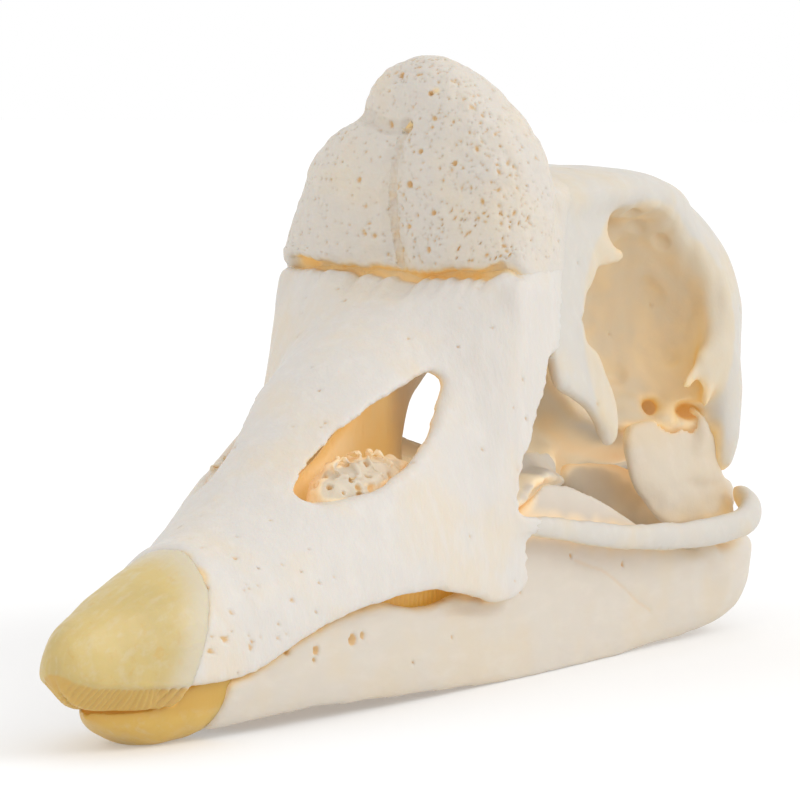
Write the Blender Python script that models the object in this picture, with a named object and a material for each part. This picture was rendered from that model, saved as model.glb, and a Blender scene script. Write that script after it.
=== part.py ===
"""Skull of a knobbed Chinese goose with its lower jaw closed, standing on the lower edge of the jaw.

The long axis is Y: the bill tip points to -Y and the back of the head to +Y. +X is the bird's left, +Z is up.
Every table is in millimetres in the skull's own measure, where y = 0 lies just behind the bill tip, x = 0 is the
middle plane and z = 0 is the table. The last step moves all bones so that the origin is at the bottom centre.

The bones are the cranium with the upper jaw, which is one fused bone in an adult bird, the lower jaw, the two
quadrates that carry the jaw, the two pterygoids, and the two horn nails on the tips of the bill.
"""

import math

import bmesh
import bpy
import numpy as np
from mathutils import Matrix, Vector

MM = 0.001
SUTURE_GAP = 0.4  # free space between neighbouring bones
LEFT, RIGHT = 1, -1

# Fusing: the cell that shapes are merged on, and the triangles that each bone may keep
FUSE_CELL = 0.55
CRANIUM_TRIANGLES = 6350
JAW_TRIANGLES = 1650
QUADRATE_TRIANGLES = 320
PTERYGOID_TRIANGLES = 150
UPPER_NAIL_TRIANGLES = 420
LOWER_NAIL_TRIANGLES = 320

# Upper bill, from the tip to the hinge at the knob: station y, height of the ridge, height of the cutting edge,
# half width at the cutting edge, how boxy the arch is (2 is an ellipse), depth of the hollow under the palate
BILL = (
    (-2.8, 9.9, 8.5, 0.3, 2.0, 0.1),
    (-2.0, 11.3, 7.6, 1.4, 2.0, 0.3),
    (0.0, 12.7, 6.9, 2.8, 2.0, 0.6),
    (2.6, 13.8, 6.5, 4.1, 2.0, 1.0),
    (6.0, 15.1, 6.1, 5.3, 2.0, 1.6),
    (12.0, 16.8, 5.8, 7.3, 2.0, 2.2),
    (18.0, 18.5, 5.8, 8.9, 2.0, 2.8),
    (24.0, 20.5, 8.2, 10.7, 1.9, 3.2),
    (30.0, 23.4, 10.2, 12.1, 1.8, 3.5),
    (38.0, 28.8, 11.5, 13.7, 1.85, 3.8),
    (46.0, 34.4, 11.8, 14.8, 2.0, 4.2),
    (54.0, 38.8, 10.0, 15.4, 2.1, 5.0),
    (58.0, 40.8, 8.8, 15.7, 2.7, 6.0),
    (61.0, 42.6, 8.8, 15.8, 4.4, 7.0),
    (63.6, 43.5, 9.6, 15.8, 8.0, 8.0),
)
BILL_STATIONS = 26
ARCH_POINTS = 25
LIP_WALL = 1.6  # wall of the upper bill outside the lower jaw


def catmull(table, count):
    """Rows read along a smooth curve through the rows of a table, at evenly spaced places."""
    rows = np.array(table, float)
    last = len(rows) - 1
    made = []
    for place in np.linspace(0, last, count):
        i = min(int(place), last - 1)
        t = place - i
        p0, p1 = rows[max(i - 1, 0)], rows[i]
        p2, p3 = rows[i + 1], rows[min(i + 2, last)]
        bend = 2 * p0 - 5 * p1 + 4 * p2 - p3
        made.append(0.5 * (2 * p1 + (p2 - p0) * t + bend * t**2 + (3 * p1 - p0 - 3 * p2 + p3) * t**3))
    return np.array(made)


def object_from(name, mesh_builder):
    """A new mesh object named name, with the mesh that mesh_builder holds."""
    bmesh.ops.recalc_face_normals(mesh_builder, faces=mesh_builder.faces)
    mesh = bpy.data.meshes.new(name)
    mesh_builder.to_mesh(mesh)
    mesh_builder.free()
    made = bpy.data.objects.new(name, mesh)
    bpy.context.scene.collection.objects.link(made)
    return made


def loft(name, rings):
    """A closed solid through rings of points, each ring in order and all of one length."""
    builder = bmesh.new()
    loops = [[builder.verts.new(Vector(point) * MM) for point in ring] for ring in rings]
    size = len(loops[0])
    for lower, upper in zip(loops, loops[1:]):
        for i in range(size):
            j = (i + 1) % size
            builder.faces.new((lower[i], lower[j], upper[j], upper[i]))
    builder.faces.new(loops[0])
    builder.faces.new(loops[-1])
    bmesh.ops.triangulate(builder, faces=[f for f in builder.faces if len(f.verts) > 4])
    return object_from(name, builder)


def rod(name, path, side=LEFT, sides=10, steps=4, across=(1, 0, 0)):
    """A bar along path. Each row of path is x, y, z, the half thickness along `across` and the half height."""
    rows = catmull(path, (len(path) - 1) * steps + 1)
    points = [Vector((row[0] * side, row[1], row[2])) for row in rows]
    rings = []
    for i, (point, row) in enumerate(zip(points, rows)):
        ahead = (points[min(i + 1, len(points) - 1)] - points[max(i - 1, 0)]).normalized()
        flat = Vector((across[0] * side, across[1], across[2]))
        flat = (flat - ahead * flat.dot(ahead)).normalized()
        tall = ahead.cross(flat)
        ring = []
        for k in range(sides):
            turn = 2 * math.pi * k / sides
            ring.append(point + flat * row[3] * math.cos(turn) + tall * row[4] * math.sin(turn))
        rings.append(ring)
    return loft(name, rings)


def blob(name, centre, radii, tilt=(0, 0, 0), side=LEFT):
    """An ellipsoid. tilt turns it about X, Y and Z, in degrees; side -1 mirrors it to the bird's right."""
    builder = bmesh.new()
    bmesh.ops.create_icosphere(builder, subdivisions=3, radius=1)
    turn = Matrix.Identity(4)
    for angle, axis in zip(tilt, "XYZ"):
        turn = Matrix.Rotation(math.radians(angle), 4, axis) @ turn
    place = Matrix.Translation(Vector(centre) * MM) @ turn @ Matrix.Diagonal((*(Vector(radii) * MM), 1))
    mirror = Matrix.Diagonal((side, 1, 1, 1))
    bmesh.ops.transform(builder, matrix=mirror @ place, verts=builder.verts)
    return object_from(name, builder)


def slab(name, outline, low, high, side=LEFT, flare=0.0, level=45.0):
    """A plate: an outline of (y, z) points, from x = low to x = high. flare leans it outward below a level."""
    rings = [[((x + flare * (level - z)) * side, y, z) for y, z in outline] for x in (low, high)]
    return loft(name, rings)


def both(maker, name, *args, **settings):
    """The left piece and its mirror image."""
    return [maker(f"{name}_{side}", *args, side=side, **settings) for side in (LEFT, RIGHT)]


def apply_modifiers(piece):
    """Replaces the piece's mesh by what its modifiers make of it."""
    bpy.context.view_layer.update()
    evaluated = piece.evaluated_get(bpy.context.evaluated_depsgraph_get())
    mesh = bpy.data.meshes.new_from_object(evaluated)
    piece.modifiers.clear()
    piece.data = mesh


def boolean(piece, other, operation):
    """Cuts other from piece, or keeps what they share, and removes other."""
    step = piece.modifiers.new("cut", "BOOLEAN")
    step.operation = operation
    step.solver = "EXACT"
    step.object = other
    apply_modifiers(piece)
    bpy.data.objects.remove(other)


def joined(name, pieces):
    """One object that holds the meshes of all pieces."""
    builder = bmesh.new()
    for piece in pieces:
        builder.from_mesh(piece.data)
        bpy.data.objects.remove(piece)
    return object_from(name, builder)


def fused(name, pieces, cell=FUSE_CELL, relax=3):
    """Grows overlapping pieces together into one bone with soft joints."""
    bone = joined(name, pieces)
    grown = bone.modifiers.new("grow together", "REMESH")
    grown.mode = "VOXEL"
    grown.voxel_size = cell * MM
    soft = bone.modifiers.new("soften", "SMOOTH")
    soft.factor = 0.5
    soft.iterations = relax
    apply_modifiers(bone)
    return bone


def give_way(bone, neighbour):
    """Cuts bone back so that a suture's gap stays free round its neighbour."""
    grown = bpy.data.objects.new("grown", neighbour.data.copy())
    bpy.context.scene.collection.objects.link(grown)
    swell = grown.modifiers.new("swell", "DISPLACE")
    swell.strength = SUTURE_GAP * MM
    swell.mid_level = 0
    skin = grown.modifiers.new("skin", "REMESH")
    skin.mode = "VOXEL"
    skin.voxel_size = FUSE_CELL * MM
    apply_modifiers(grown)
    boolean(bone, grown, "DIFFERENCE")


def lighten(bone, triangles):
    """Brings a bone down to about this many triangles and drops any loose crumb."""
    builder = bmesh.new()
    builder.from_mesh(bone.data)
    bmesh.ops.triangulate(builder, faces=builder.faces)
    keep_largest(builder)
    count = len(builder.faces)
    builder.to_mesh(bone.data)
    builder.free()
    fewer = bone.modifiers.new("fewer faces", "DECIMATE")
    fewer.ratio = min(1.0, triangles / count)
    fewer.use_collapse_triangulate = True
    apply_modifiers(bone)


def keep_largest(builder):
    """Deletes every loose part but the one with the most faces."""
    left = set(builder.faces)
    parts = []
    while left:
        edge = [left.pop()]
        part = list(edge)
        while edge:
            face = edge.pop()
            for side in face.edges:
                for other in side.link_faces:
                    if other in left:
                        left.discard(other)
                        edge.append(other)
                        part.append(other)
        parts.append(part)
    largest = max(parts, key=len)
    extra = [face for part in parts if part is not largest for face in part]
    bmesh.ops.delete(builder, geom=extra, context="FACES")
    loose = [vertex for vertex in builder.verts if not vertex.link_faces]
    bmesh.ops.delete(builder, geom=loose, context="VERTS")


def bill_ring(row, grow=0.0):
    """One section of the upper bill: an arch over the top and a hollow palate below."""
    y, top, low, half, power, hollow = row
    half, top, low = half + grow, top + grow, low - grow
    ring = []
    for turn in np.linspace(0, math.pi, ARCH_POINTS):
        c, s = math.cos(turn), math.sin(turn)
        x = math.copysign(abs(c) ** (2 / power), c) * half
        ring.append((x, y, low + (top - low) * abs(s) ** (2 / power)))
    inner = max(half - LIP_WALL, 0.55 * half)
    ring += [(-inner, y, low + 0.1 * hollow), (-0.86 * inner, y, low + 0.75 * hollow)]
    ring += [(-0.5 * inner, y, low + hollow), (0, y, low + 1.08 * hollow), (0.5 * inner, y, low + hollow)]
    ring += [(0.86 * inner, y, low + 0.75 * hollow), (inner, y, low + 0.1 * hollow)]
    return ring


def upper_bill(grow=0.0):
    return loft("bill", [bill_ring(row, grow) for row in catmull(BILL, BILL_STATIONS)])


# Inside of the upper bill: y, height of the floor. It starts narrow and is open behind
NOSE_FLOOR = ((31.0, 21.6), (36.0, 20.6), (44.0, 19.6), (54.0, 18.6), (62.0, 16.0), (70.0, 15.0))
SIDE_WALL = 1.5
NOSE_WALL = (
    *((30, 19), (31, 23), (38, 26), (46, 31), (56, 38), (63, 44)),
    *((74, 46), (73, 37), (71, 33), (65.5, 29.5), (63.5, 25), (65, 18)),
)


def nose_cavity():
    """The hollow inside the bill, a wall's thickness smaller than the bill."""
    floor_y, floor_z = zip(*NOSE_FLOOR)
    rings = []
    for row in catmull(BILL, 60):
        y, top, low, half, power, _ = row
        if y < 31:
            continue
        opening = min(1.0, 0.35 + (y - 31) / 14)
        floor = np.interp(y, floor_y, floor_z)
        ring = []
        for turn in np.linspace(0, math.pi, ARCH_POINTS):
            c, s = math.cos(turn), math.sin(turn)
            x = math.copysign(abs(c) ** (2 / power), c) * (half - SIDE_WALL) * opening
            z = low + (top - 2.0 - low) * abs(s) ** (2 / power)
            ring.append((x, y, max(z, floor)))
        rings.append(ring)
    rings.append([(x, y + 6, z) for x, y, z in rings[-1]])
    return loft("nose cavity", rings)


# Side plate of the bill where it reaches back past the hinge (y, z)
CHEEK_PLATE = (
    (63.0, 42.6),
    (67.0, 43.4),
    (71.6, 43.2),
    (72.6, 41.0),
    (72.2, 37.5),
    (70.4, 34.5),
    (68.8, 31.5),
    (66.2, 28.0),
    (64.4, 24.0),
    (62.0, 22.0),
)

# Nostril, one opening from side to side: points of its outline on the left wall (y, z)
NOSTRIL = (
    (33.2, 23.3),
    (36.1, 25.3),
    (39.3, 27.3),
    (41.8, 28.8),
    (44.3, 30.0),
    (46.6, 31.0),
    (49.0, 31.8),
    (53.4, 33.3),
    (55.9, 33.9),
    (55.8, 32.8),
    (54.9, 31.5),
    (52.2, 28.6),
    (49.3, 26.7),
    (46.0, 24.9),
    (42.9, 23.6),
    (40.4, 22.8),
    (37.0, 22.0),
    (34.4, 21.8),
    (32.9, 22.1),
)


def nostril_cutter():
    outline = catmull(NOSTRIL + NOSTRIL[:1], 39)[:-1]
    return slab("nostril", [tuple(point) for point in outline], -20, 20)


# Openings for nerves in the back wall of the eye socket: x, y, z and the half widths along the way in
OPTIC_OPENING = ((14.0, 98.4, 26.8, 1.3, 1.3), (10.0, 105.6, 26.2, 1.3, 1.3), (7.0, 111.0, 25.7, 1.2, 1.2))
NERVE_OPENING = ((17.0, 102.3, 26.5, 1.9, 1.1), (13.2, 109.2, 25.9, 1.9, 1.1), (11.0, 113.2, 25.6, 1.2, 0.9))

# Roof of the skull between knob and braincase: y, top, thickness, half width
ROOF = (
    (66.0, 47.6, 5.0, 10.5),
    (70.0, 51.4, 7.0, 12.0),
    (74.0, 54.2, 8.0, 13.4),
    (80.0, 55.0, 8.0, 14.4),
    (87.0, 55.0, 6.4, 14.8),
    (95.0, 54.9, 6.4, 15.2),
    (103.0, 54.5, 10.0, 15.4),
    (110.0, 53.4, 12.0, 14.2),
    (116.0, 50.8, 14.0, 11.8),
)
EYE_CENTRE, EYE_RADII = (18.5, 95.4, 36.2), (15.2, 16.4, 14.3)
BRAIN_CENTRE, BRAIN_RADII = (0, 109.4, 36.2), (18.4, 20.2, 18.2)


def roof():
    rings = []
    for y, top, thick, half in catmull(ROOF, 17):
        low = top - thick
        ring = []
        for turn in np.linspace(0, 2 * math.pi, 25)[:-1]:
            c, s = math.cos(turn), math.sin(turn)
            x = math.copysign(abs(c) ** 0.7, c) * half
            ring.append((x, y, (top + low) / 2 + math.copysign(abs(s) ** 0.7, s) * (top - low) / 2))
        rings.append(ring)
    return loft("roof", rings)


# Forehead knob in level slices: height, right end, left end, front, back, how boxy
KNOB = (
    (41.5, -15.2, 13.8, 65.4, 75.6, 4.4),
    (43.8, -16.0, 14.6, 63.0, 76.0, 4.4),
    (46.6, -15.5, 14.8, 62.5, 76.6, 3.8),
    (51.0, -14.3, 14.9, 62.3, 77.2, 3.1),
    (55.0, -13.1, 14.4, 62.2, 77.6, 2.7),
    (57.6, -11.3, 13.4, 62.4, 77.6, 2.5),
    (59.4, -8.8, 12.4, 62.7, 77.2, 2.4),
    (60.8, -6.3, 11.4, 62.9, 76.8, 2.3),
    (62.6, -5.8, 9.9, 62.9, 75.6, 2.2),
    (64.6, -4.6, 7.9, 63.3, 73.8, 2.1),
    (66.2, -2.7, 5.8, 64.3, 71.8, 2.0),
    (67.3, 0.2, 3.6, 65.8, 69.4, 2.0),
)
KNOB_GROOVE = 0.9


def knob():
    """The forehead knob: two lobes side by side with a groove between them down the front."""
    rings = []
    for z, right, left, front, back, power in catmull(KNOB, 30):
        ring = []
        for turn in np.linspace(0, 2 * math.pi, 33)[:-1]:
            c, s = math.cos(turn), math.sin(turn)
            x = (left + right) / 2 + math.copysign(abs(c) ** (2 / power), c) * (left - right) / 2
            y = (front + back) / 2 + math.copysign(abs(s) ** (2 / power), s) * (back - front) / 2
            if s < 0:
                y += KNOB_GROOVE * math.exp(-(((x + 0.4) / 1.6) ** 2))
            ring.append((x, y, z))
        rings.append(ring)
    return loft("knob", rings)


HINGE_BEAM = ((-14.6, 66.4, 42.2, 2.8, 1.5), (0, 66.0, 42.2, 3.4, 1.5), (14.6, 66.4, 42.2, 2.8, 1.5))

# Groove under the knob where the bill bends: (y, z) of its outline
HINGE_GROOVE = ((58, 43.4), (65.4, 43.4), (65.9, 43.9), (65.4, 44.4), (58, 44.6))


# Lacrimal plate in front of the eye (y, z), and the spike at its lower end
LACRIMAL_PLATE = (
    (71.0, 50.0),
    (76.0, 53.0),
    (88.0, 53.0),
    (88.6, 49.6),
    (87.0, 46.2),
    (83.6, 43.2),
    (80.4, 40.4),
    (79.2, 38.0),
    (79.8, 35.8),
    (82.4, 33.8),
    (85.0, 31.4),
    (86.4, 28.8),
    (86.2, 26.6),
    (85.0, 24.4),
    (83.6, 23.6),
    (82.8, 24.4),
    (81.8, 26.6),
    (78.8, 28.8),
    (74.6, 30.4),
    (72.4, 31.4),
    (71.0, 36.0),
    (71.0, 45.0),
)
BROW_SPUR = ((13.6, 84.0, 46.0, 1.1, 1.9), (14.4, 87.8, 45.0, 0.9, 1.2), (14.6, 90.2, 45.2, 0.6, 0.8))
POSTORBITAL = (
    (13.0, 107.0, 47.0, 1.5, 2.6),
    (14.8, 110.6, 42.0, 1.2, 2.4),
    (15.7, 111.0, 36.0, 1.1, 1.8),
    (16.2, 109.0, 30.6, 0.9, 1.2),
    (16.6, 106.4, 25.8, 0.6, 0.7),
)
TEMPLE_SPUR = ((15.6, 109.0, 33.4, 1.1, 1.7), (15.4, 105.8, 30.2, 0.9, 1.2), (15.3, 103.4, 28.8, 0.6, 0.8))
EAR_WING = (
    (16.0, 112.0, 34.0, 2.2, 4.2),
    (16.6, 113.0, 28.0, 1.6, 3.2),
    (16.2, 113.6, 22.0, 1.3, 2.8),
    (15.2, 114.0, 18.6, 1.0, 1.8),
)
JUGAL = (
    (14.2, 58.0, 16.8, 0.9, 1.4),
    (15.6, 64.0, 17.0, 0.9, 1.3),
    (16.4, 72.0, 15.8, 1.0, 1.5),
    (17.6, 82.0, 14.2, 1.0, 1.7),
    (18.8, 92.0, 13.2, 1.1, 1.8),
    (19.8, 102.0, 12.9, 1.2, 1.9),
    (20.6, 108.6, 13.3, 1.3, 2.0),
    (19.9, 112.6, 14.7, 1.3, 2.3),
    (17.4, 114.2, 16.2, 1.2, 2.0),
)
# Wing on the outer side of each palatine and the thin plates over the palate
PALATE_WING = (
    (12.4, 60.0, 17.4, 1.8, 0.8),
    (11.0, 68.0, 19.0, 2.4, 0.8),
    (9.6, 76.0, 21.0, 2.6, 0.8),
    (8.2, 84.0, 20.0, 2.0, 0.8),
    (6.4, 90.0, 19.0, 1.2, 0.8),
)
NOSE_SHELL = (
    (11.8, 62.0, 22.0, 0.8, 2.4),
    (10.4, 66.0, 24.0, 0.8, 3.2),
    (8.0, 70.0, 25.0, 0.8, 2.6),
    (4.6, 73.0, 24.0, 0.8, 1.6),
    (1.0, 75.0, 22.4, 0.8, 1.2),
)
PALATINE = (
    (5.6, 46.0, 17.0, 1.2, 3.4),
    (6.6, 58.0, 17.0, 1.0, 3.6),
    (7.2, 70.0, 18.4, 0.9, 4.2),
    (7.0, 80.0, 19.4, 0.9, 4.6),
    (5.4, 88.0, 19.6, 1.0, 3.4),
    (3.2, 93.0, 20.4, 1.2, 2.0),
    (1.6, 96.0, 21.4, 1.2, 1.6),
)
ROSTRUM = ((0, 58, 19.5, 1.4, 1.6), (0, 80, 20.0, 1.6, 2.4), (0, 100, 20.6, 2.4, 3.2), (0, 112, 22.2, 3.4, 3.6))
# Thin wing that hangs from the back of the skull behind each quadrate: middle, half sizes
NAPE_WING = ((7.2, 117.0, 20.2), (7.6, 1.5, 5.6))
MIDDLE_PLATE = ((66, 50), (74, 42), (77, 37), (78, 32), (77.5, 26), (74, 21), (80, 20), (92, 20.5), (106, 22), (106, 50))


CREST = (
    (16.0, 113.6, 28.0, 1.0, 1.6),
    (14.6, 118.0, 36.0, 1.0, 1.4),
    (11.4, 121.4, 44.0, 1.0, 1.2),
    (5.0, 123.8, 47.8, 1.0, 1.2),
    (-1.0, 124.2, 48.6, 1.0, 1.2),
)


def occiput_and_base():
    return [
        *both(rod, "nape crest", CREST),
        blob("hind brain", (0, 127.4, 37.6), (6.4, 4.0, 8.6), (-8, 0, 0)),
        blob("nape", (0, 118.0, 32.0), (15.5, 12.0, 13.0)),
        blob("ear capsule left", (9.5, 113.5, 26.0), (6.6, 7.4, 6.4)),
        blob("ear capsule right", (-9.5, 113.5, 26.0), (6.6, 7.4, 6.4)),
        blob("skull base", (0, 110.0, 24.0), (9.0, 10.0, 4.6)),
        blob("occipital condyle", (0, 127.6, 22.6), (2.2, 2.6, 1.9)),
    ]


def cranium():
    bill = upper_bill()
    boolean(bill, nose_cavity(), "DIFFERENCE")
    parts = [bill, slab("nose wall", NOSE_WALL, -0.9, 0.9), roof(), knob()]
    parts.append(blob("braincase", BRAIN_CENTRE, BRAIN_RADII))
    parts += both(slab, "cheek plate", CHEEK_PLATE, 13.8, 15.2, flare=0.03)
    parts.append(rod("hinge beam", HINGE_BEAM, across=(0, 1, 0)))
    parts += occiput_and_base()
    bone = fused("cranium", parts, relax=2)
    for side in (LEFT, RIGHT):
        eye = blob("eye", EYE_CENTRE, EYE_RADII, side=side)
        boolean(bone, eye, "DIFFERENCE")
    boolean(bone, nostril_cutter(), "DIFFERENCE")
    boolean(bone, blob("foramen magnum", (0, 124.5, 29.4), (4.6, 11.0, 4.4), (-22, 0, 0)), "DIFFERENCE")
    for name, path in (("optic", OPTIC_OPENING), ("nerve", NERVE_OPENING)):
        for side in (LEFT, RIGHT):
            boolean(bone, rod(name, path, side), "DIFFERENCE")
    more = [bone, slab("middle plate", MIDDLE_PLATE, -0.8, 0.8)]
    more += both(slab, "lacrimal", LACRIMAL_PLATE, 12.6, 14.3, flare=0.1)
    more += both(rod, "brow spur", BROW_SPUR)
    more += both(rod, "postorbital", POSTORBITAL)
    more += both(rod, "temple spur", TEMPLE_SPUR)
    more += both(rod, "ear wing", EAR_WING)
    more += both(rod, "jugal", JUGAL)
    more += both(rod, "palatine", PALATINE)
    more += both(rod, "palate wing", PALATE_WING)
    more += both(rod, "nose shell", NOSE_SHELL)
    more.append(rod("rostrum", ROSTRUM))
    more += both(blob, "nape wing", *NAPE_WING)
    bone = fused("cranium", more, relax=3)
    boolean(bone, slab("hinge groove", HINGE_GROOVE, -20, 20), "DIFFERENCE")
    return bone


# Lower jaw, left half: y, outer x at the rim, outer x at the lower edge, height of the lower edge, height of the rim,
# wall thickness
JAW = (
    (14.0, 7.0, 5.0, 0.8, 5.4, 2.4),
    (20.0, 8.4, 7.4, 1.0, 6.6, 2.4),
    (28.0, 10.4, 9.2, 1.2, 9.6, 2.3),
    (38.0, 12.0, 11.0, 1.0, 11.6, 2.3),
    (48.0, 13.2, 12.4, 0.6, 11.0, 2.4),
    (58.0, 13.6, 13.4, 0.1, 12.6, 2.5),
    (66.0, 13.6, 14.2, -0.4, 17.0, 2.6),
    (72.0, 13.8, 14.8, -0.7, 20.8, 2.6),
    (80.0, 14.6, 15.2, -0.6, 19.8, 2.6),
    (88.0, 15.6, 15.8, -0.3, 16.8, 2.7),
    (96.0, 16.8, 16.4, 0.2, 12.6, 3.0),
    (104.0, 18.0, 17.2, 0.5, 10.4, 3.6),
    (110.0, 18.9, 18.2, 1.3, 10.4, 4.4),
    (115.5, 18.7, 18.0, 3.0, 11.2, 4.2),
    (119.0, 17.6, 17.0, 6.6, 10.8, 3.2),
)


def jaw_half(name, side=LEFT):
    rings = []
    for y, rim_x, foot_x, low, high, wall in catmull(JAW, 36):
        ring = []
        for turn in np.linspace(0, 2 * math.pi, 17)[:-1]:
            c, s = math.cos(turn), math.sin(turn)
            share = 0.5 + 0.5 * math.copysign(abs(s) ** 0.8, s)
            outer = foot_x + (rim_x - foot_x) * share
            centre = outer - wall / 2
            ring.append(((centre + math.copysign(abs(c) ** 0.8, c) * wall / 2) * side, y, low + (high - low) * share))
        rings.append(ring)
    return loft(name, rings)


# Fused front of the lower jaw: y, half width, lower edge, rim, depth of the spoon
JAW_FRONT = (
    (-3.0, 1.4, 3.6, 5.0, 0.2),
    (-1.0, 3.2, 2.2, 5.0, 0.6),
    (3.0, 4.8, 0.9, 4.9, 1.2),
    (8.0, 5.8, 0.3, 4.8, 1.8),
    (13.0, 6.8, 0.5, 5.0, 2.2),
    (18.0, 8.0, 0.9, 5.8, 2.8),
    (21.0, 8.7, 1.1, 7.0, 3.6),
)


def spoon_ring(row, grow=0.0):
    y, half, low, high, deep = row
    half, low = half + grow, low - grow
    ring = []
    for turn in np.linspace(math.pi, 2 * math.pi, 15):
        c, s = math.cos(turn), math.sin(turn)
        x = math.copysign(abs(c) ** 0.8, c) * half
        ring.append((x, y, high - (high - low) * abs(s) ** 0.8))
    ring += [(0.8 * half, y, high - 0.15 * deep), (0.5 * half, y, high - 0.8 * deep), (0, y, high - deep)]
    ring += [(-0.5 * half, y, high - 0.8 * deep), (-0.8 * half, y, high - 0.15 * deep)]
    return ring


def jaw_front(grow=0.0):
    return loft("jaw front", [spoon_ring(row, grow) for row in catmull(JAW_FRONT, 14)])


JOINT_BLOCK = (
    (17.0, 106.0, 8.6, 2.4, 2.6),
    (13.6, 108.6, 9.0, 3.4, 2.8),
    (10.4, 109.6, 10.0, 2.2, 1.8),
    (8.6, 109.8, 11.6, 1.2, 0.9),
)
HEEL = (
    (15.4, 111.0, 8.4, 1.8, 3.2),
    (13.8, 115.6, 8.8, 1.2, 3.0),
    (12.4, 119.8, 11.4, 0.9, 2.4),
    (11.6, 122.2, 15.0, 0.6, 1.4),
)


def lower_jaw():
    parts = [jaw_front(), *both(jaw_half, "jaw half")]
    parts += both(rod, "jaw joint", JOINT_BLOCK, across=(0, 1, 0))
    parts += both(rod, "jaw heel", HEEL)
    return fused("lower_jaw", parts, relax=3)


QUADRATE_BODY = (
    (11.0, 97.8, 24.2, 0.8, 0.9),
    (11.8, 100.6, 23.2, 0.9, 2.6),
    (12.8, 104.0, 21.6, 1.0, 4.6),
    (13.8, 107.6, 19.4, 1.3, 5.6),
    (14.6, 110.0, 17.0, 1.7, 5.0),
    (15.0, 111.0, 14.8, 2.2, 3.0),
)
QUADRATE_EAR = ((14.6, 109.6, 19.0, 1.6, 2.6), (14.6, 110.4, 24.0, 1.4, 1.8), (14.0, 110.6, 28.0, 1.7, 1.8))
QUADRATE_FOOT = ((17.2, 110.2, 14.8, 1.6, 1.4), (14.4, 110.4, 14.4, 1.9, 1.7), (11.8, 109.6, 14.6, 1.5, 1.5))


def quadrate(side):
    parts = [
        rod("orbital process", QUADRATE_BODY, side),
        rod("ear process", QUADRATE_EAR, side),
        rod("quadrate foot", QUADRATE_FOOT, side, across=(0, 1, 0)),
    ]
    return fused("quadrate", parts, cell=0.4, relax=3)


PTERYGOID = (
    (11.2, 107.6, 15.4, 1.1, 1.8),
    (9.6, 104.6, 16.2, 1.2, 2.9),
    (7.8, 101.0, 17.4, 1.2, 3.0),
    (5.8, 98.0, 18.6, 1.1, 2.2),
    (3.8, 95.4, 19.6, 0.9, 1.2),
)


# Upper nail, a horn cap over the tip of the bill: y, ridge, edge of the smooth part, lower edge of the ribbed band,
# half width at the edge of the smooth part and at the lower edge of the band, which runs in like a ship's bow
UPPER_NAIL = (
    (-3.3, 10.4, 8.8, 8.3, 0.9, 0.3),
    (-2.4, 12.0, 8.0, 6.7, 2.2, 0.4),
    (-0.4, 13.2, 7.3, 5.2, 3.4, 0.6),
    (2.6, 14.2, 6.9, 4.4, 4.6, 1.5),
    (6.0, 15.4, 6.5, 4.2, 5.7, 4.0),
    (12.0, 17.1, 6.1, 4.2, 7.5, 6.9),
    (18.0, 18.7, 6.0, 4.2, 9.0, 8.4),
    (24.0, 20.6, 6.0, 4.4, 10.0, 9.4),
)
UPPER_NAIL_EDGE, UPPER_NAIL_SLANT = (11.0, 6.0), 32
BAND_STEP = 0.6
NAIL_WALL = 1.1

# Lower nail, a horn cup round the tip of the lower jaw: y, half width, lower edge, rim, depth of its hollow
LOWER_NAIL = (
    (2.0, 0.3, 3.7, 4.2, 0.1),
    (2.8, 1.0, 3.3, 4.1, 0.2),
    (4.0, 1.9, 2.6, 4.0, 0.4),
    (6.0, 3.4, 1.5, 4.0, 0.8),
    (8.0, 4.3, 0.6, 4.1, 1.2),
    (10.0, 5.0, -0.1, 4.3, 1.4),
    (12.0, 6.0, -0.2, 5.2, 1.8),
    (14.5, 6.8, -0.1, 5.8, 2.2),
    (17.0, 7.5, 0.4, 5.9, 2.2),
    (21.0, 8.6, 1.0, 6.4, 2.4),
)
LOWER_NAIL_EDGE, LOWER_NAIL_SLANT = (16.4, 1.0), 14


def slanted_box(name, y, z, slant, side_of_plane, gap):
    """A big block that lies in front of (-1) or behind (1) a slanting plane through (y, z)."""
    builder = bmesh.new()
    bmesh.ops.create_cube(builder, size=1)
    size = 60
    shift = Matrix.Translation(Vector((0, side_of_plane * (size / 2 + gap), 0)) * MM)
    grow = Matrix.Scale(size * MM, 4)
    turn = Matrix.Rotation(math.radians(-slant), 4, "X")
    place = Matrix.Translation(Vector((0, y, z)) * MM)
    bmesh.ops.transform(builder, matrix=place @ turn @ shift @ grow, verts=builder.verts)
    return object_from(name, builder)


def upper_nail_ring(row):
    y, top, edge, band, half, foot = row
    step = min(BAND_STEP, 0.25 * half)
    ring = [(foot, y, band), (half - step, y, edge - 0.15)]
    for turn in np.linspace(0, math.pi, 19):
        c, s = math.cos(turn), math.sin(turn)
        ring.append((math.copysign(abs(c), c) * half, y, edge + 0.2 + (top - edge - 0.2) * abs(s)))
    ring += [(step - half, y, edge - 0.15), (-foot, y, band)]
    inner = max(foot - NAIL_WALL, 0.3 * foot)
    roof_z = min(edge + 0.25 * (top - edge), band + 1.4 * foot)
    ring += [(-inner, y, band + 0.2), (-0.8 * inner, y, roof_z - 0.2), (0, y, roof_z)]
    ring += [(0.8 * inner, y, roof_z - 0.2), (inner, y, band + 0.2)]
    return ring


def core(grow):
    """The bone's own tip inside the upper nail."""
    return blob("core", (0, 15.0, 11.8), (4.4 + grow, 12.0 + grow, 2.5 + grow), (5, 0, 0))


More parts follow.
